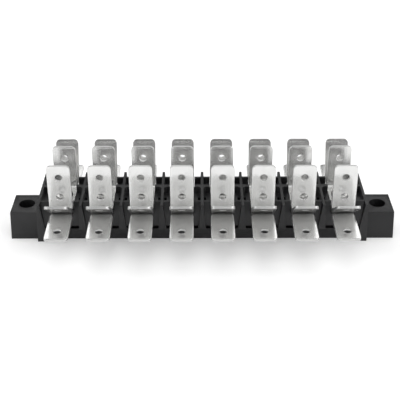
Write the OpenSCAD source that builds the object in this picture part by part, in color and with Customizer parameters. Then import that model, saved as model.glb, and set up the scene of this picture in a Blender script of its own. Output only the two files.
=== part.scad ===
// Barrier terminal strip: one moulded housing, and at each pole a stack of three
// push-on terminals held down by a tubular rivet. Millimetres.
// X runs along the strip, the front faces -Y, and Z = 0 is the face on the panel.

/* [Strip] */
// Number of poles along the strip
poles = 8; // [2:1:12]
// Distance from one pole to the next
pitch = 11; // [10.5:0.25:16]

/* [Terminals] */
// Width of every push-on tab
tab_w = 6.35; // [4.8:0.05:6.6]
// Thickness of the sheet that the terminals are stamped from
sheet_t = 0.8; // [0.5:0.05:1]
// Inner radius of a bend in the sheet
bend_r = 0.4; // [0.2:0.05:0.6]
// Radius of the two corners at the tip of a tab
tip_r = 1.2; // [0.6:0.1:2]
// Length of the thinned lead-in at the tip of a tab
lead_l = 0.4; // [0.2:0.1:1.5]
// Depth taken off each face at the very tip
lead_d = 0.15; // [0.05:0.01:0.22]
// Diameter of the detent hole in a tab
hole_d = 2; // [1.4:0.1:3]
// Distance from the tip of an upright tab to the centre of its detent hole
upright_inset = 3.6; // [2.8:0.1:4.4]
// Distance from the tip of an angled tab to the centre of its detent hole
angled_inset = 4.2; // [2.8:0.1:4.4]
// Distance from the tip of a level tab to the centre of its detent hole
level_inset = 4; // [2.8:0.1:4.4]
// Straight height of the front upright tab above its bend
front_up_l = 12.65; // [9:0.05:16]
// Height of the lower hole in the front upright above its bend
low_hole_h = 3.2; // [2.5:0.1:4.5]
// Straight height of the back upright tab above its bend
back_up_l = 12.2; // [9:0.1:16]
// Length of the front angled tab past its bend
front_angled_l = 10.5; // [8:0.1:14]
// Rise of the front angled tab from level, in degrees
front_angle = 36; // [25:1:50]
// Length of the back angled tab past its bend
back_angled_l = 12.5; // [8:0.1:14]
// Rise of the back angled tab from level, in degrees
back_angle = 70; // [60:1:78]
// Distance from the centre line to the tip of a level tab
level_reach = 21; // [17:0.5:26]
// Width of the neck where the level terminal passes through a wall
neck_w = 5.6; // [4:0.1:6]
// Length of the neck outside the wall, before the tab widens
neck_out = 1.15; // [0.5:0.05:2]
// Length over which the neck widens to the full tab
neck_flare = 0.9; // [0.4:0.1:1.5]
// How far the front upright stands outside the front wall
front_stand = 0.6; // [0.2:0.05:1]
// Gap between the back upright and the back wall
back_set = 0.95; // [0.3:0.05:2]
// Flat length of the angled terminal outside the back wall
back_flat = 0.45; // [0.2:0.05:1.5]
// How far the angled terminal's front bend sits outside the upright's bend
nest_shift = 0.25; // [0.1:0.05:0.4]

/* [Rivets] */
// Outer diameter of the rivet's tube
rivet_d = 3; // [2.4:0.1:3.6]
// Diameter of the bore through the rivet
rivet_bore_d = 1.8; // [1:0.1:2]
// Diameter of the flange on the terminals
rivet_head_d = 4.8; // [4.2:0.1:5.4]
// Diameter of the rolled flange under the housing
rivet_tail_d = 4.6; // [4.2:0.1:5.2]
// Thickness of both flanges
rivet_flange_t = 0.6; // [0.3:0.05:1]
// Clearance between the rivet and the holes it goes through
rivet_gap = 0.1; // [0.05:0.05:0.3]

/* [Housing] */
// Height of the barriers above the panel
barrier_h = 13.4; // [13:0.1:18]
// Length of a barrier's top edge, front to back
barrier_top_l = 19.2; // [16:0.1:24]
// Slope of a barrier's front and back edges, as run over rise
barrier_slope = 0.23; // [0.1:0.01:0.27]
// Thickness of a barrier at its top edge
barrier_top_t = 0.7; // [0.5:0.05:1.2]
// Thickness of a barrier at the body's underside
barrier_foot_t = 2; // [1.4:0.05:2.4]
// How far a barrier hangs below the body's underside, before it runs back to the foot
barrier_hang = 0.9; // [0:0.1:1.5]
// Distance from the last half pitch to the middle of an end barrier
end_shift = 0.5; // [0:0.05:1]
// Distance from the centre line to the outer face of a long wall
wall_out = 7.15; // [6.6:0.05:7.4]
// Thickness of the two long walls
wall_t = 0.8; // [0.6:0.05:1.2]
// How far the long walls stop below the barriers
wall_drop = 0.2; // [0:0.05:0.8]
// Height of the seat under the terminals
seat_h = 9; // [8.6:0.1:9.6]
// Clearance beside a terminal in its channel
fit_gap = 0.15; // [0.05:0.05:0.3]
// Distance of the cross rib behind the centre line
rib_y = 1.5; // [0.5:0.1:2.4]
// Thickness of the cross rib
rib_t = 1.2; // [0.8:0.1:2.4]
// Width and depth of the gusset between the cross rib and a barrier
gusset = 0.7; // [0.3:0.1:1.2]
// Width of the relief slots beside a barrier
slot_w = 0.65; // [0.4:0.05:0.9]
// Length of the relief slots, front to back
slot_l = 2.2; // [1:0.1:3]
// Distance from the centre line to the back end of a relief slot
slot_y = 1.75; // [1.4:0.05:2.5]
// Depth of the foot, front to back, and of the ears
foot_w = 9.9; // [9:0.1:12]
// Height of the foot
foot_h = 3.3; // [2:0.1:4.4]
// Depth of the groove above the foot
groove_d = 1; // [0.5:0.1:1.2]
// Height of the body's underside above the panel
body_z = 5.6; // [5:0.1:6.2]
// Diameter of the pocket that clears a rivet from below
pocket_d = 6.4; // [5.6:0.1:6.8]
// Height of that pocket's roof, where the rivet is rolled over
pocket_h = 6; // [5:0.1:6.6]
// Width of the coring under each barrier
core_w = 2.8; // [1.5:0.1:3]
// Front to back length of the coring under each barrier
core_l = 5.4; // [3:0.1:6]
// Thickness left above the coring
core_roof = 2.6; // [2:0.1:4]

/* [Ears] */
// Length of an ear outside its end barrier, at the top
ear_l = 7.7; // [6.5:0.05:12]
// Height of the ears
ear_h = 8.5; // [5:0.1:9.5]
// Extra length of an ear at the bottom, from its draft
ear_draft = 0.4; // [0:0.1:1]
// Diameter of the fixing hole through an ear
ear_hole_d = 4.5; // [3:0.1:5]
// Distance from an end barrier's outer face to the centre of the fixing hole
ear_hole_out = 3.75; // [3:0.05:5]
// Width and height of the gusset behind the fixing hole, against the end barrier
ear_gusset = 0.6; // [0.3:0.1:1]

/* [Hidden] */
// Overshoot of a cutting shape past the surface that it cuts
cut = 1;
// Segments of a full circle
fine = 48;
// Flats that make up one bend of the sheet
bend_steps = 8;

deck_h = seat_h + 3*sheet_t;
wall_h = barrier_h - wall_drop;
wall_in = wall_out - wall_t;
channel_w = tab_w + 2*fit_gap;
bend_out = bend_r + sheet_t;
front_fold = wall_out + front_stand - bend_out;
back_fold = wall_in - back_set - bend_out;
core_h = deck_h - core_roof;
run = poles*pitch/2 + end_shift;
end_face = run + barrier_foot_t/2;
ear_x = end_face + ear_hole_out;

function pole_x(n) = (n - (poles + 1)/2)*pitch;
function barrier_half(z) = barrier_top_l/2 - (barrier_h - z)*barrier_slope;
function barrier_t(z) =
    barrier_top_t + (barrier_foot_t - barrier_top_t)*(barrier_h - z)/(barrier_h - body_z);

upright_names = [for (n = [1:poles]) str("upright_terminal_", n)];
angled_names = [for (n = [1:poles]) str("angled_terminal_", n)];
level_names = [for (n = [1:poles]) str("level_terminal_", n)];

// Turns a front-to-back profile, drawn as (Y, Z), into a solid along X.
module along_x(length) {
    rotate([90, 0, 90]) linear_extrude(length, center = true) children();
}

// Turns an end-on profile, drawn as (X, Z), into a solid along Y.
module along_y(length) {
    rotate([90, 0, 0]) linear_extrude(length, center = true) children();
}

// Side view of one bend and its tab, followed from the flat web to the tip along
// the face at radius r. Y grows away from the web and Z = 0 is the web's lower face.
function tab_side(fold, inner_r, angle, length, r) = concat(
    [for (i = [0:bend_steps])
        let (a = angle*i/bend_steps)
            [fold + r*sin(a), sheet_t + inner_r - r*cos(a)]],
    [[
        fold + r*sin(angle) + length*cos(angle),
        sheet_t + inner_r - r*cos(angle) + length*sin(angle)
    ]]
);
function mirrored(points) = [for (p = points) [-p[0], p[1]]];
function backwards(points) = [for (i = [len(points) - 1:-1:0]) points[i]];

// A strip of sheet with a bend and a tab at each end. A tab is given as
// [distance to its fold, inner radius, angle, length].
module bent_strip(front, back) {
    along_x(tab_w)
        polygon(concat(
            tab_side(back[0], back[1], back[2], back[3], back[1] + sheet_t),
            backwards(tab_side(back[0], back[1], back[2], back[3], back[1])),
            mirrored(tab_side(front[0], front[1], front[2], front[3], front[1])),
            backwards(mirrored(
                tab_side(front[0], front[1], front[2], front[3], front[1] + sheet_t)
            ))
        ));
}

// Moves a shape from a level tab growing along +Y onto the bent tab.
module on_tab(t) {
    translate([0, t[0], sheet_t + t[1]]) rotate([t[2], 0, 0])
        translate([0, 0, -sheet_t - t[1]]) children();
}

// What is taken off a level tab of the given length: its two tip corners, the
// thinned lead-in on both faces, and holes at the given distances from the root.
module tab_cuts(length, holes) {
    fall = lead_d*(lead_l + cut)/lead_l;
    for (side = [0, 1])
        mirror([side, 0, 0])
            translate([tab_w/2 - tip_r, length - tip_r, -cut])
                linear_extrude(sheet_t + 2*cut)
                    difference() {
                        square(tip_r + cut);
                        circle(tip_r, $fn = fine);
                    }
    along_x(tab_w + 2*cut) {
        polygon([
            [length - lead_l, sheet_t],
            [length + cut, sheet_t - fall],
            [length + cut, sheet_t + cut],
            [length - lead_l, sheet_t + cut]
        ]);
        polygon([
            [length - lead_l, 0],
            [length - lead_l, -cut],
            [length + cut, -cut],
            [length + cut, fall]
        ]);
    }
    for (y = holes)
        translate([0, y, -cut]) cylinder(d = hole_d, h = sheet_t + 2*cut, $fn = fine);
}

// Places a terminal at its pole, on the given layer of the stack, and drills it.
module terminal(n, layer) {
    translate([pole_x(n), 0, seat_h + layer*sheet_t])
        difference() {
            color("silver") children();
            translate([0, 0, -cut])
                cylinder(d = rivet_d + 2*rivet_gap, h = sheet_t + 2*cut, $fn = fine);
        }
}

// Top layer: a channel-shaped stamping with an upright tab at each end.
module upright_terminal(n) {
    front = [front_fold, bend_r, 90, front_up_l];
    back = [back_fold, bend_r, 90, back_up_l];
    terminal(n, 2)
        difference() {
            bent_strip(front, back);
            mirror([0, 1, 0]) on_tab(front)
                tab_cuts(front_up_l, [low_hole_h, front_up_l - upright_inset]);
            on_tab(back) tab_cuts(back_up_l, [back_up_l - upright_inset]);
        }
}

// Middle layer: its front tab nests round the upright's bend and rises at a low
// angle, and its back tab leans back behind the back wall.
module angled_terminal(n) {
    front = [front_fold + nest_shift, bend_out, front_angle, front_angled_l];
    back = [wall_out + back_flat, bend_r, back_angle, back_angled_l];
    terminal(n, 1)
        difference() {
            bent_strip(front, back);
            mirror([0, 1, 0]) on_tab(front)
                tab_cuts(front_angled_l, [front_angled_l - angled_inset]);
            on_tab(back) tab_cuts(back_angled_l, [back_angled_l - angled_inset]);
        }
}

// Bottom layer: a level strip with a tab at each end. A narrow neck drops into
// each wall's notch, and its shoulders keep the strip from sliding.
module level_terminal(n) {
    neck_in = wall_in - fit_gap;
    neck_end = wall_out + neck_out;
    edge = [
        [tab_w/2, neck_in], [neck_w/2, neck_in], [neck_w/2, neck_end],
        [tab_w/2, neck_end + neck_flare], [tab_w/2, level_reach]
    ];
    back_half = concat(edge, backwards(mirrored(edge)));
    terminal(n, 0)
        difference() {
            linear_extrude(sheet_t) polygon(concat(back_half, [for (p = back_half) -p]));
            for (turn = [0, 180])
                rotate([0, 0, turn]) tab_cuts(level_reach, [level_reach - level_inset]);
        }
}

// One tubular rivet, flanged on the terminals and rolled over under the housing.
module rivet() {
    rotate_extrude($fn = fine) {
        translate([rivet_bore_d/2, pocket_h - rivet_flange_t])
            square([(rivet_d - rivet_bore_d)/2, deck_h - pocket_h + 2*rivet_flange_t]);
        translate([rivet_bore_d/2, deck_h])
            square([(rivet_head_d - rivet_bore_d)/2, rivet_flange_t]);
        translate([rivet_bore_d/2, pocket_h - rivet_flange_t])
            square([(rivet_tail_d - rivet_bore_d)/2, rivet_flange_t]);
    }
}

module rivets() {
    color("gainsboro")
        for (n = [1:poles])
            translate([pole_x(n), 0, 0]) rivet();
}

// Cross-section of the body: foot, groove, deck, two long walls and the cross rib.
module body_profile() {
    groove_half = foot_w/2 - groove_d;
    translate([-foot_w/2, 0]) square([foot_w, foot_h]);
    translate([-groove_half, 0]) square([2*groove_half, deck_h]);
    translate([-wall_out, body_z]) square([2*wall_out, deck_h - body_z]);
    for (y = [-wall_out, wall_in])
        translate([y, body_z]) square([wall_t, wall_h - body_z]);
    translate([rib_y - rib_t/2, body_z]) square([rib_t, barrier_h - body_z]);
}

// Side view of a barrier above the given height, with the points of what is below.
module barrier_profile(bottom, base) {
    polygon(concat(base, [
        [barrier_half(bottom), bottom], [barrier_half(barrier_h), barrier_h],
        [-barrier_half(barrier_h), barrier_h], [-barrier_half(bottom), bottom]
    ]));
}

// End view of a barrier: it thickens all the way down.
module barrier_taper() {
    polygon([
        [-barrier_t(barrier_h)/2, barrier_h], [-barrier_t(0)/2, 0],
        [barrier_t(0)/2, 0], [barrier_t(barrier_h)/2, barrier_h]
    ]);
}

// A barrier between two poles. It hangs below the body and runs back to the foot.
module inner_barrier() {
    base = [[-foot_w/2, foot_h], [foot_w/2, foot_h]];
    intersection() {
        along_x(2*barrier_foot_t) barrier_profile(body_z - barrier_hang, base);
        along_y(2*barrier_top_l) barrier_taper();
    }
}

// An end barrier stands on the panel.
module end_barrier() {
    intersection() {
        along_x(2*barrier_foot_t) barrier_profile(0, []);
        along_y(2*barrier_top_l) barrier_taper();
    }
}

// A fixing ear, growing along +X from the middle of the end barrier.
module ear() {
    along_y(foot_w)
        polygon([
            [run, 0], [end_face + ear_l + ear_draft, 0],
            [end_face + ear_l, ear_h], [run, ear_h]
        ]);
}

// A low sloped gusset along one half of the corner between that ear and its barrier.
module ear_corner() {
    foot_x = run + barrier_t(ear_h)/2 + ear_gusset;
    along_y(foot_w/2)
        polygon([
            [run, ear_h/2], [foot_x, ear_h/2], [foot_x, ear_h],
            [foot_x - ear_gusset, ear_h + ear_gusset], [run, ear_h + ear_gusset]
        ]);
}

// Everything that one pole takes out of the body: the channel for the stack,
// the notches for the necks, the rivet hole and the pocket under it.
module pole_cuts() {
    neck_channel_w = neck_w + 2*fit_gap;
    translate([-channel_w/2, -wall_out - cut, seat_h + sheet_t])
        cube([channel_w, 2*(wall_out + cut), barrier_h]);
    translate([-channel_w/2, -wall_in, seat_h])
        cube([channel_w, 2*wall_in, barrier_h]);
    translate([-neck_channel_w/2, -wall_out - cut, seat_h])
        cube([neck_channel_w, 2*(wall_out + cut), barrier_h]);
    cylinder(d = rivet_d + 2*rivet_gap, h = barrier_h, $fn = fine);
    translate([0, 0, -cut]) cylinder(d = pocket_d, h = pocket_h + cut, $fn = fine);
}

// Relief slots on both sides of a barrier, in front of the cross rib.
module barrier_slots() {
    for (side = [0, 1])
        mirror([side, 0, 0])
            translate([barrier_t(deck_h)/2, -slot_y - slot_l, seat_h])
                cube([slot_w, slot_l, barrier_h]);
}

// Gussets in the two corners between a barrier and the front of the cross rib.
module rib_gussets() {
    reach = barrier_t(barrier_h)/2 + gusset;
    rib_front = rib_y - rib_t/2;
    translate([0, 0, body_z])
        linear_extrude(barrier_h - body_z)
            polygon([[-reach, rib_front], [0, rib_front - reach], [reach, rib_front]]);
}

module housing() {
    color("dimgray")
        difference() {
            union() {
                along_x(2*run) body_profile();
                for (side = [0, 180])
                    rotate([0, 0, side]) {
                        translate([run, 0, 0]) end_barrier();
                        ear();
                    }
                for (side = [0, 1])
                    mirror([side, 0, 0])
                        translate([0, foot_w/4, 0]) ear_corner();
                for (n = [1:poles - 1])
                    translate([pole_x(n) + pitch/2, 0, 0]) {
                        inner_barrier();
                        rib_gussets();
                    }
            }
            for (n = [1:poles])
                translate([pole_x(n), 0, 0]) pole_cuts();
            for (n = [1:poles - 1])
                translate([pole_x(n) + pitch/2, 0, 0]) {
                    barrier_slots();
                    translate([-core_w/2, -core_l/2, -cut]) cube([core_w, core_l, core_h + cut]);
                }
            for (side = [-1, 1])
                translate([side*ear_x, 0, -cut])
                    cylinder(d = ear_hole_d, h = ear_h + 2*cut, $fn = fine);
        }
}

housing();
rivets();
for (n = [1:poles]) {
    upright_terminal(n);
    angled_terminal(n);
    level_terminal(n);
}
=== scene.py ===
import math

import bpy
from mathutils import Euler, Matrix, Vector


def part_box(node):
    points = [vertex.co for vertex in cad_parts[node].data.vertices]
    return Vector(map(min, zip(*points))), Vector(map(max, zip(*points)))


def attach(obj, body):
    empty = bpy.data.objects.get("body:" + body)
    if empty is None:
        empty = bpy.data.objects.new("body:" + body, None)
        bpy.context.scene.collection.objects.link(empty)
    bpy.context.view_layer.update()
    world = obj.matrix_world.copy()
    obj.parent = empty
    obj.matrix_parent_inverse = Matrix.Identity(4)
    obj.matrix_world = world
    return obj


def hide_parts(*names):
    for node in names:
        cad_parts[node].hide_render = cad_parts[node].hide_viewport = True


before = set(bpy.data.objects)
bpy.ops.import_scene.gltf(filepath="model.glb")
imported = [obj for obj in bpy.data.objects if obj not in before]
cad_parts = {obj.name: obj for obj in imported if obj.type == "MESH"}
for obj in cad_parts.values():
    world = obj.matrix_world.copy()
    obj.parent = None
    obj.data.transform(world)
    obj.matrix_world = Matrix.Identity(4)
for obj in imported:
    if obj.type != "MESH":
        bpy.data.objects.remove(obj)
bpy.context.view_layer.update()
bpy.ops.object.select_all(action="DESELECT")

# ---------------------------------------------------------------- housing
# The housing is one injection moulding in black glass-filled nylon. The tool leaves
# every outside edge with a small radius, and a fine spark-eroded grain on the faces.
MM = 0.001
WELD = 0.002 * MM
FLAT_TURN = math.radians(1)
EDGE_TURN = math.radians(35)
MOULD_EDGE = 0.18 * MM
EDGE_STEPS = 2
NYLON_DARK = "0e0e10"
NYLON_PALE = "151517"
GRAIN = 0.22 * MM
GRAIN_DEPTH = 0.02 * MM
FIBRE_CLOUD = 3.5 * MM


def linear(hexa):
    channels = []
    for i in (0, 2, 4):
        c = int(hexa[i:i + 2], 16) / 255
        channels.append(c / 12.92 if c <= 0.04045 else ((c + 0.055) / 1.055) ** 2.4)
    return (*channels, 1.0)


def add_node(tree, kind, settings=(), links=()):
    made = tree.nodes.new(kind)
    for name, value in dict(settings).items():
        if isinstance(name, int) or name in made.inputs:
            made.inputs[name].default_value = value
        else:
            setattr(made, name, value)
    for socket, source in dict(links).items():
        tree.links.new(source, made.inputs[socket])
    return made


def start_material(name):
    material = bpy.data.materials.new(name)
    material.use_nodes = True
    material.node_tree.nodes.clear()
    return material, material.node_tree


def merged_copy(node, name):
    piece = bpy.data.objects.new(name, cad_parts[node].data.copy())
    bpy.context.scene.collection.objects.link(piece)
    piece.data.materials.clear()
    take(piece)
    bpy.ops.object.mode_set(mode="EDIT")
    bpy.ops.mesh.select_all(action="SELECT")
    bpy.ops.mesh.remove_doubles(threshold=WELD)
    bpy.ops.mesh.dissolve_limited(angle_limit=FLAT_TURN)
    bpy.ops.object.mode_set(mode="OBJECT")
    return piece


def take(piece):
    bpy.ops.object.select_all(action="DESELECT")
    piece.select_set(True)
    bpy.context.view_layer.objects.active = piece


def round_edges(piece, radius):
    take(piece)
    bpy.ops.object.shade_smooth()
    bpy.ops.object.modifier_add(type="BEVEL")
    bevel = piece.modifiers[-1]
    bevel.width = radius
    bevel.segments = EDGE_STEPS
    bevel.limit_method = "ANGLE"
    bevel.angle_limit = EDGE_TURN
    bevel.harden_normals = True
    bpy.ops.object.modifier_apply(modifier=bevel.name)


# Moulded glass-filled nylon: nearly black, satin, a fine grain over the whole surface
# and faint clouds where the glass fibres lie differently under the skin.
nylon, tree = start_material("moulded_glass_filled_nylon")
place = add_node(tree, "ShaderNodeTexCoord").outputs["Object"]
clouds = add_node(
    tree, "ShaderNodeTexNoise", {"Scale": 1 / FIBRE_CLOUD, "Detail": 3.0}, {"Vector": place}
)
grain = add_node(tree, "ShaderNodeTexNoise", {"Scale": 1 / GRAIN, "Detail": 2.0}, {"Vector": place})
tone = add_node(
    tree, "ShaderNodeMix",
    {"data_type": "RGBA", 6: linear(NYLON_DARK), 7: linear(NYLON_PALE)},
    {0: clouds.outputs["Fac"]},
)
satin = add_node(
    tree, "ShaderNodeMapRange",
    {"From Min": 0.3, "From Max": 0.7, "To Min": 0.41, "To Max": 0.51},
    {"Value": clouds.outputs["Fac"]},
)
relief = add_node(
    tree, "ShaderNodeBump", {"Strength": 0.25, "Distance": GRAIN_DEPTH},
    {"Height": grain.outputs["Fac"]},
)
shader = add_node(
    tree, "ShaderNodeBsdfPrincipled", {"IOR": 1.5, "Specular IOR Level": 0.47},
    {"Base Color": tone.outputs[2], "Roughness": satin.outputs[0], "Normal": relief.outputs[0]},
)
add_node(tree, "ShaderNodeOutputMaterial", links={"Surface": shader.outputs[0]})

moulding = merged_copy("housing", "moulding")
round_edges(moulding, MOULD_EDGE)
moulding.data.materials.append(nylon)
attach(moulding, "root")
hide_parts("housing")

# --------------------------------------------------------- level terminals
# The bottom layer of each pole is a flat strip of tin-plated sheet, 0.8 mm thick, with
# a push-on tab at each end. Its narrow neck drops into the notch in each long wall.
SHEET = 0.8 * MM
TAB_W = 6.35 * MM
TIP_R = 1.2 * MM
TIP_STEPS = 8
LEAD = 0.5 * MM
LEAD_FALL = 0.1 * MM
HOLE_R = 1 * MM
ROUND_STEPS = 40
PUNCH_LENGTH = 2.4 * MM
RIVET_HOLE_R = 1.6 * MM
SHEET_EDGE = 0.1 * MM
REACH = 21 * MM
LEVEL_HOLE = 17 * MM
NECK_W = 5.6 * MM
NECK_ROWS = (6.2 * MM, 6.25 * MM, 8.3 * MM, 9.2 * MM)
NEAR = 0.01 * MM
POLES = 8
TIN_PALE = "e5e5e4"
TIN_DULL = "dadad9"
ROLL_LINE = 0.3 * MM
ROLL_LENGTH = 9 * MM
ROLL_DEPTH = 0.02 * MM
TIN_CLOUD = 2.6 * MM
EDGE_PALE = "d2d2d1"
EDGE_DULL = "bababa"
# Near-black grey for the torn lower half of a hole wall: partly the duller torn metal, partly
# painted shade inside the hole.
TORN_SHADE_GREY = "3a3a39"
TEAR = 0.25 * MM


def pick(piece, wanted):
    bpy.ops.mesh.select_mode(type="VERT")
    bpy.ops.mesh.select_all(action="DESELECT")
    bpy.ops.object.mode_set(mode="OBJECT")
    for v in piece.data.vertices:
        v.select = wanted(v.co)
    bpy.ops.object.mode_set(mode="EDIT")


def cut_across(point, normal):
    bpy.ops.mesh.select_all(action="SELECT")
    bpy.ops.mesh.bisect(plane_co=point, plane_no=normal)


def start_sheet(name, y_low, y_high, z):
    bpy.ops.object.select_all(action="DESELECT")
    bpy.ops.mesh.primitive_plane_add(size=1, location=(0, (y_low + y_high) / 2, z))
    piece = bpy.context.object
    piece.name = name
    piece.scale = (TAB_W, y_high - y_low, 1)
    bpy.ops.object.transform_apply(location=True, rotation=False, scale=True)
    return piece


# A tip is given as its middle point and the direction that the tab points in.
def shape_tip(piece, end, along):
    def near(co):
        return abs((co - end).dot(along)) < NEAR

    pick(piece, near)
    bpy.ops.mesh.bevel(offset=TIP_R, segments=TIP_STEPS, affect="VERTICES", clamp_overlap=True)
    cut_across(end - along * LEAD, along)


def thicken(piece, tips):
    bpy.ops.object.mode_set(mode="OBJECT")
    lead = piece.vertex_groups.new(name="lead_in")
    for v in piece.data.vertices:
        fall = 0
        for end, along in tips:
            past = (v.co - end).dot(along) + LEAD
            if past > 0 and (v.co - end).length < TAB_W:
                fall = LEAD_FALL * past / LEAD
        lead.add([v.index], 1 - 2 * fall / SHEET, "REPLACE")
    bpy.ops.object.modifier_add(type="SOLIDIFY")
    wall = piece.modifiers[-1]
    wall.thickness = SHEET
    wall.offset = 0
    wall.use_even_offset = True
    wall.vertex_group = lead.name
    wall.material_offset_rim = 1
    bpy.ops.object.modifier_apply(modifier=wall.name)
    piece.vertex_groups.clear()


# A hole is given as its centre, its radius and the tilt of the sheet that it goes through.
# The lower half of the wall of a level hole is torn, where the slug broke away, and is coloured
# near black as painted shade inside the hole.
def punch(piece, holes):
    punches = []
    for centre, radius, tilt in holes:
        bpy.ops.object.select_all(action="DESELECT")
        bpy.ops.mesh.primitive_cylinder_add(
            vertices=ROUND_STEPS, radius=radius, depth=PUNCH_LENGTH,
            location=centre, rotation=(tilt, 0, 0),
        )
        punches.append(bpy.context.object)
        punches[-1].data.materials.append(sheared)
        if tilt == 0:
            punches[-1].data.materials.append(torn_and_shade)
            bpy.ops.object.mode_set(mode="EDIT")
            cut_across(centre, (0, 0, 1))
            bpy.ops.object.mode_set(mode="OBJECT")
            for face in punches[-1].data.polygons:
                face.material_index = int(face.center.z < 0)
    for tool in punches:
        take(piece)
        bpy.ops.object.modifier_add(type="BOOLEAN")
        hole = piece.modifiers[-1]
        hole.operation = "DIFFERENCE"
        hole.solver = "EXACT"
        hole.material_mode = "TRANSFER"
        hole.object = tool
        bpy.ops.object.modifier_apply(modifier=hole.name)
        bpy.data.objects.remove(tool)


def finish_terminals(piece, node_stem):
    for n in range(1, POLES + 1):
        node = f"{node_stem}_{n}"
        low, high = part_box(node)
        copy = bpy.data.objects.new(f"{piece.name}_{n}", piece.data.copy())
        bpy.context.scene.collection.objects.link(copy)
        copy.data.transform(Matrix.Translation(((low.x + high.x) / 2, 0, 0)))
        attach(copy, "root")
        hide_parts(node)
    bpy.data.objects.remove(piece)


# Tin-plated rolled sheet: a bright soft metal, with rolling lines from tip to tip and
# a cloudy plate that scatters a little more in some places than in others.
tin, tree = start_material("tin_plated_rolled_sheet")
place = add_node(tree, "ShaderNodeTexCoord").outputs["Object"]
stretched = add_node(
    tree, "ShaderNodeMapping",
    {"Scale": (1 / ROLL_LINE, 1 / ROLL_LENGTH, 1 / ROLL_LENGTH)}, {"Vector": place},
)
lines = add_node(
    tree, "ShaderNodeTexNoise", {"Scale": 1.0, "Detail": 2.0}, {"Vector": stretched.outputs[0]}
)
clouds = add_node(
    tree, "ShaderNodeTexNoise", {"Scale": 1 / TIN_CLOUD, "Detail": 4.0}, {"Vector": place}
)
tone = add_node(
    tree, "ShaderNodeMix",
    {"data_type": "RGBA", 6: linear(TIN_PALE), 7: linear(TIN_DULL)},
    {0: clouds.outputs["Fac"]},
)
both = add_node(
    tree, "ShaderNodeMath", {"operation": "MULTIPLY"},
    {0: clouds.outputs["Fac"], 1: lines.outputs["Fac"]},
)
scatter = add_node(
    tree, "ShaderNodeMapRange",
    {"From Min": 0.15, "From Max": 0.35, "To Min": 0.16, "To Max": 0.24},
    {"Value": both.outputs[0]},
)
relief = add_node(
    tree, "ShaderNodeBump", {"Strength": 0.03, "Distance": ROLL_DEPTH},
    {"Height": lines.outputs["Fac"]},
)
shader = add_node(
    tree, "ShaderNodeBsdfPrincipled", {"Metallic": 0.88},
    {"Base Color": tone.outputs[2], "Roughness": scatter.outputs[0], "Normal": relief.outputs[0]},
)
add_node(tree, "ShaderNodeOutputMaterial", links={"Surface": shader.outputs[0]})

# The sheared edges and punched holes of that sheet: torn metal, greyer and much duller
# than the plated faces, with fine tear lines through the thickness.
sheared, tree = start_material("sheared_sheet_edge")
place = add_node(tree, "ShaderNodeTexCoord").outputs["Object"]
tears = add_node(tree, "ShaderNodeTexNoise", {"Scale": 1 / TEAR, "Detail": 2.0}, {"Vector": place})
tone = add_node(
    tree, "ShaderNodeMix",
    {"data_type": "RGBA", 6: linear(EDGE_PALE), 7: linear(EDGE_DULL)},
    {0: tears.outputs["Fac"]},
)
shader = add_node(
    tree, "ShaderNodeBsdfPrincipled", {"Metallic": 1.0, "Roughness": 0.42},
    {"Base Color": tone.outputs[2]},
)
add_node(tree, "ShaderNodeOutputMaterial", links={"Surface": shader.outputs[0]})

# The lower half of a punched hole: torn metal, duller than the sheared half, and coloured near
# black as painted shade of the hole's inside.
torn_and_shade, tree = start_material("torn_hole_wall_with_painted_shade")
shader = add_node(
    tree, "ShaderNodeBsdfPrincipled",
    {"Metallic": 0.6, "Roughness": 0.6, "Base Color": linear(TORN_SHADE_GREY)},
)
add_node(tree, "ShaderNodeOutputMaterial", links={"Surface": shader.outputs[0]})

level_low, level_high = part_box("level_terminal_1")
level_z = (level_low.z + level_high.z) / 2
level = start_sheet("level_stamping", -REACH, REACH, level_z)
level.data.materials.append(tin)
level.data.materials.append(sheared)
bpy.ops.object.mode_set(mode="EDIT")
level_tips = [(Vector((0, s * REACH, level_z)), Vector((0, s, 0))) for s in (-1, 1)]
for end, along in level_tips:
    shape_tip(level, end, along)
for row in NECK_ROWS:
    for side in (-1, 1):
        cut_across((0, side * row, level_z), (0, 1, 0))
pick(level, lambda co: NECK_ROWS[1] - NEAR < abs(co.y) < NECK_ROWS[2] + NEAR)
bpy.ops.transform.resize(value=(NECK_W / TAB_W, 1, 1), center_override=(0, 0, level_z))
thicken(level, level_tips)
punch(level, [
    ((0, -LEVEL_HOLE, level_z), HOLE_R, 0),
    ((0, LEVEL_HOLE, level_z), HOLE_R, 0),
    ((0, 0, level_z), RIVET_HOLE_R, 0),
])
round_edges(level, SHEET_EDGE)
finish_terminals(level, "level_terminal")

# -------------------------------------------------------- angled terminals
# The middle layer is a bent stamping of the same sheet. Its front tab rises at a low
# angle under the upright one, and its back tab leans back behind the rear wall.
ANGLED_FRONT = (6.8 * MM, 1.2 * MM, math.radians(36), 10.5 * MM)
ANGLED_BACK = (7.6 * MM, 0.4 * MM, math.radians(70), 12.5 * MM)
ANGLED_HOLE = 4.2 * MM
UPRIGHT = math.radians(90)
BEND_STEPS = 12


# A bend is given as the distance to its fold, inner radius, angle and length of the tab.
def bend_up(piece, side, web_z, bend):
    fold, inner, angle, length = bend
    middle = inner + SHEET / 2
    pick(piece, lambda co: side * co.y > fold - NEAR)
    bpy.ops.mesh.spin(
        steps=BEND_STEPS, angle=angle, center=(0, side * fold, web_z + middle), axis=(-side, 0, 0)
    )
    along = Vector((0, side * math.cos(angle), math.sin(angle)))
    bpy.ops.mesh.extrude_region_move(TRANSFORM_OT_translate={"value": along * length})
    foot_y = fold + middle * math.sin(angle)
    foot_z = web_z + middle * (1 - math.cos(angle))
    return Vector((0, side * foot_y, foot_z)) + along * length, along


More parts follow.
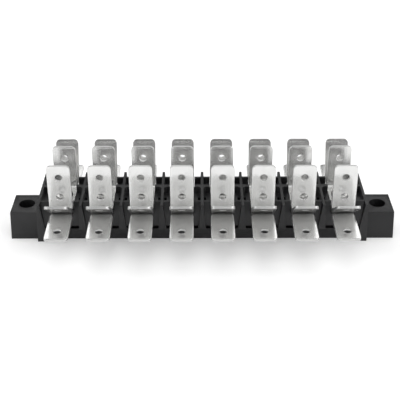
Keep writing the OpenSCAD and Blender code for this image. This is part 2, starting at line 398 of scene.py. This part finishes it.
def face_up(piece):
    bpy.ops.mesh.select_all(action="SELECT")
    bpy.ops.mesh.remove_doubles(threshold=WELD)
    bpy.ops.mesh.normals_make_consistent(inside=False)
    bpy.ops.object.mode_set(mode="OBJECT")
    web = min(piece.data.polygons, key=lambda p: p.center.z)
    bpy.ops.object.mode_set(mode="EDIT")
    if web.normal.z < 0:
        bpy.ops.mesh.select_all(action="SELECT")
        bpy.ops.mesh.flip_normals()


# More holes are given by the tip they belong to, 0 in front, and the way down from it.
def bent_stamping(name, web_z, front, back, detent, more_holes):
    piece = start_sheet(name, -front[0], back[0], web_z)
    piece.data.materials.append(tin)
    piece.data.materials.append(sheared)
    bpy.ops.object.mode_set(mode="EDIT")
    tips = [bend_up(piece, -1, web_z, front), bend_up(piece, 1, web_z, back)]
    face_up(piece)
    for end, along in tips:
        shape_tip(piece, end, along)
    thicken(piece, tips)
    holes = [((0, 0, web_z), RIVET_HOLE_R, 0)]
    for (end, along), bend, side in zip(tips, (front, back), (-1, 1)):
        holes.append((end - along * detent, HOLE_R, side * bend[2]))
    for tip, down in more_holes:
        end, along = tips[tip]
        holes.append((end - along * down, HOLE_R, UPRIGHT))
    punch(piece, holes)
    round_edges(piece, SHEET_EDGE)
    return piece


angled_z = level_high.z + SHEET / 2
angled = bent_stamping("angled_stamping", angled_z, ANGLED_FRONT, ANGLED_BACK, ANGLED_HOLE, [])
finish_terminals(angled, "angled_terminal")

# ------------------------------------------------------- upright terminals
# The top layer is a channel-shaped stamping with an upright tab at each end. The front
# one has a second hole, low down, which a wire can be hooked through and soldered.
UPRIGHT_FRONT = (6.55 * MM, 0.4 * MM, UPRIGHT, 12.65 * MM)
UPRIGHT_BACK = (4.2 * MM, 0.4 * MM, UPRIGHT, 12.2 * MM)
UPRIGHT_HOLE = 3.6 * MM
LOW_HOLE = 9.45 * MM

upright_z = angled_z + SHEET
upright = bent_stamping(
    "upright_stamping", upright_z, UPRIGHT_FRONT, UPRIGHT_BACK, UPRIGHT_HOLE, [(0, LOW_HOLE)]
)
finish_terminals(upright, "upright_terminal")

# ------------------------------------------------------------------ rivets
# One nickel-plated tubular rivet per pole clamps the three layers. Its head is rolled
# over the top terminal, and its tail is curled over in the pocket under the housing.
# Its section is walked round as radius and height in millimetres, from the bore's foot.
RIVET_SIDE = (
    (0.9, 5.75), (0.9, 11.6), (0.97, 11.82), (1.2, 11.97), (1.6, 12.0), (2.08, 11.97),
    (2.32, 11.84), (2.4, 11.64), (2.33, 11.45), (2.15, 11.4), (1.5, 11.4), (1.5, 6.0),
    (2.05, 6.0), (2.24, 5.92), (2.3, 5.7), (2.22, 5.49), (2.0, 5.4), (1.5, 5.4), (1.1, 5.46),
)
NICKEL_PALE = "cfcfcd"
NICKEL_DULL = "b8b8b6"
NICKEL_CLOUD = 0.8 * MM
ROLLED_TURN = math.radians(50)


def rivet_side(r, z):
    return Vector((r * MM, 0, z * MM))


# Nickel plate on drawn brass tube: a plain grey metal, duller in some places than in others.
nickel, tree = start_material("nickel_plated_tube")
place = add_node(tree, "ShaderNodeTexCoord").outputs["Object"]
clouds = add_node(
    tree, "ShaderNodeTexNoise", {"Scale": 1 / NICKEL_CLOUD, "Detail": 3.0}, {"Vector": place}
)
tone = add_node(
    tree, "ShaderNodeMix",
    {"data_type": "RGBA", 6: linear(NICKEL_PALE), 7: linear(NICKEL_DULL)},
    {0: clouds.outputs["Fac"]},
)
scatter = add_node(
    tree, "ShaderNodeMapRange",
    {"From Min": 0.3, "From Max": 0.7, "To Min": 0.22, "To Max": 0.4},
    {"Value": clouds.outputs["Fac"]},
)
shader = add_node(
    tree, "ShaderNodeBsdfPrincipled", {"Metallic": 1.0},
    {"Base Color": tone.outputs[2], "Roughness": scatter.outputs[0]},
)
add_node(tree, "ShaderNodeOutputMaterial", links={"Surface": shader.outputs[0]})

bpy.ops.object.select_all(action="DESELECT")
bpy.ops.mesh.primitive_plane_add(size=1 * MM, location=rivet_side(*RIVET_SIDE[0]))
rivet = bpy.context.object
rivet.name = "rivet"
bpy.ops.object.transform_apply(location=True)
bpy.ops.object.mode_set(mode="EDIT")
bpy.ops.mesh.select_mode(type="VERT")
bpy.ops.mesh.select_all(action="SELECT")
bpy.ops.mesh.merge(type="CENTER")
for here, there in zip(RIVET_SIDE, RIVET_SIDE[1:]):
    step = rivet_side(*there) - rivet_side(*here)
    bpy.ops.mesh.extrude_region_move(TRANSFORM_OT_translate={"value": step})
bpy.ops.mesh.select_all(action="SELECT")
bpy.ops.mesh.spin(steps=ROUND_STEPS, angle=math.tau, center=(0, 0, 0), axis=(0, 0, 1))
bpy.ops.mesh.select_all(action="SELECT")
bpy.ops.mesh.remove_doubles(threshold=WELD)
bpy.ops.mesh.select_all(action="DESELECT")
bpy.ops.mesh.select_non_manifold()
bpy.ops.mesh.bridge_edge_loops()
bpy.ops.mesh.select_all(action="SELECT")
bpy.ops.mesh.normals_make_consistent(inside=False)
bpy.ops.object.mode_set(mode="OBJECT")
bpy.ops.object.shade_smooth_by_angle(angle=ROLLED_TURN)
rivet.data.materials.append(nickel)
for n in range(1, POLES + 1):
    low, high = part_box(f"upright_terminal_{n}")
    copy = bpy.data.objects.new(f"tubular_rivet_{n}", rivet.data.copy())
    bpy.context.scene.collection.objects.link(copy)
    copy.data.transform(Matrix.Translation(((low.x + high.x) / 2, 0, 0)))
    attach(copy, "root")
    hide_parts("rivets")
bpy.data.objects.remove(rivet)

# ------------------------------------------------------------------- stage
# A plain pale floor that keeps the shadow, a dim grey surround, soft lamps at both
# sides, behind, above and in front, and a camera that looks down at thirty degrees.
FLOOR = 0.93
FLOOR_SIZE = 6
FLOOR_GLOW = 0.24
FAR_GLOW = 0.9
GLOW_START = 0.25
GLOW_END = 1.2
SURROUND = 0.15
WHITE = (1, 1, 1, 1)
AIM = Vector((0, 0, 0.01))
LENS = 84.1
FILM = 36
EYE = (-0.0006, -0.2273, 0.1408)
EYE_TILT = math.radians(60)
EYE_ROLL = math.radians(-0.13)
NEAREST = 0.01

# Pale card that keeps the shadow. To the eye and in the metal it also glows a little,
# more so far from the part, so that the ground ends in white. The glow lights nothing.
floor_card, tree = start_material("pale_floor_card")
rays = add_node(tree, "ShaderNodeLightPath")
seen = add_node(
    tree, "ShaderNodeMath", {"operation": "MAXIMUM"},
    {0: rays.outputs["Is Camera Ray"], 1: rays.outputs["Is Glossy Ray"]},
)
seen_through = add_node(
    tree, "ShaderNodeMath", {"operation": "MAXIMUM"},
    {0: seen.outputs[0], 1: rays.outputs["Is Transmission Ray"]},
)
place = add_node(tree, "ShaderNodeTexCoord").outputs["Object"]
reach = add_node(tree, "ShaderNodeVectorMath", {"operation": "LENGTH"}, {0: place})
sweep = add_node(
    tree, "ShaderNodeMapRange",
    {"From Min": GLOW_START, "From Max": GLOW_END, "To Min": FLOOR_GLOW, "To Max": FAR_GLOW},
    {"Value": reach.outputs["Value"]},
)
glow = add_node(
    tree, "ShaderNodeMath", {"operation": "MULTIPLY"},
    {0: seen_through.outputs[0], 1: sweep.outputs[0]},
)
paper = add_node(tree, "ShaderNodeBsdfDiffuse", {"Color": (FLOOR, FLOOR, FLOOR, 1)})
lift = add_node(tree, "ShaderNodeEmission", {"Color": WHITE}, {"Strength": glow.outputs[0]})
card = add_node(tree, "ShaderNodeAddShader", links={0: paper.outputs[0], 1: lift.outputs[0]})
add_node(tree, "ShaderNodeOutputMaterial", links={"Surface": card.outputs[0]})
bpy.ops.object.select_all(action="DESELECT")
bpy.ops.mesh.primitive_plane_add(size=FLOOR_SIZE, location=(0, 0, 0))
floor = bpy.context.object
floor.name = "floor"
floor.data.materials.append(floor_card)

world = bpy.data.worlds.new("surround")
world.use_nodes = True
tree = world.node_tree
tree.nodes.clear()
light = add_node(tree, "ShaderNodeBackground", {"Color": WHITE, "Strength": SURROUND})
add_node(tree, "ShaderNodeOutputWorld", links={"Surface": light.outputs[0]})
bpy.context.scene.world = world

# Each lamp is a name, a place, a width, a depth and watts, and looks at the strip.
for name, spot, width, depth, watts in (
    ("back_softbox", (0.0, 0.79, 0.64), 1.6, 0.42, 3.3),
    ("overhead_softbox", (0.0, 0.09, 1.01), 0.7, 0.55, 1.15),
    ("front_softbox", (0.0, -0.5, 0.88), 1.2, 0.5, 2.3),
    ("front_strip", (0.0, -0.99, 0.17), 1.6, 0.3, 0.27),
    ("left_softbox", (-0.85, 0.0, 0.54), 1.4, 0.45, 5.54),
    ("right_softbox", (0.85, 0.0, 0.54), 1.4, 0.45, 4.3),
    ("right_front_softbox", (0.6, -0.6, 0.54), 0.7, 0.45, 1.9),
):
    lamp = bpy.data.lights.new(name, "AREA")
    lamp.shape = "RECTANGLE"
    lamp.size = width
    lamp.size_y = depth
    lamp.energy = watts
    stand = bpy.data.objects.new(name, lamp)
    bpy.context.scene.collection.objects.link(stand)
    stand.location = spot
    stand.rotation_euler = (AIM - Vector(spot)).to_track_quat("-Z", "Y").to_euler()

camera = bpy.data.cameras.new("camera")
camera.lens = LENS
camera.sensor_width = FILM
camera.clip_start = NEAREST
tripod = bpy.data.objects.new("camera", camera)
bpy.context.scene.collection.objects.link(tripod)
tripod.location = EYE
tilt = Euler((EYE_TILT, 0, 0)).to_matrix()
roll = Euler((0, 0, EYE_ROLL)).to_matrix()
tripod.rotation_euler = (tilt @ roll).to_euler()
bpy.context.scene.camera = tripod
bpy.context.scene.view_settings.view_transform = "Standard"
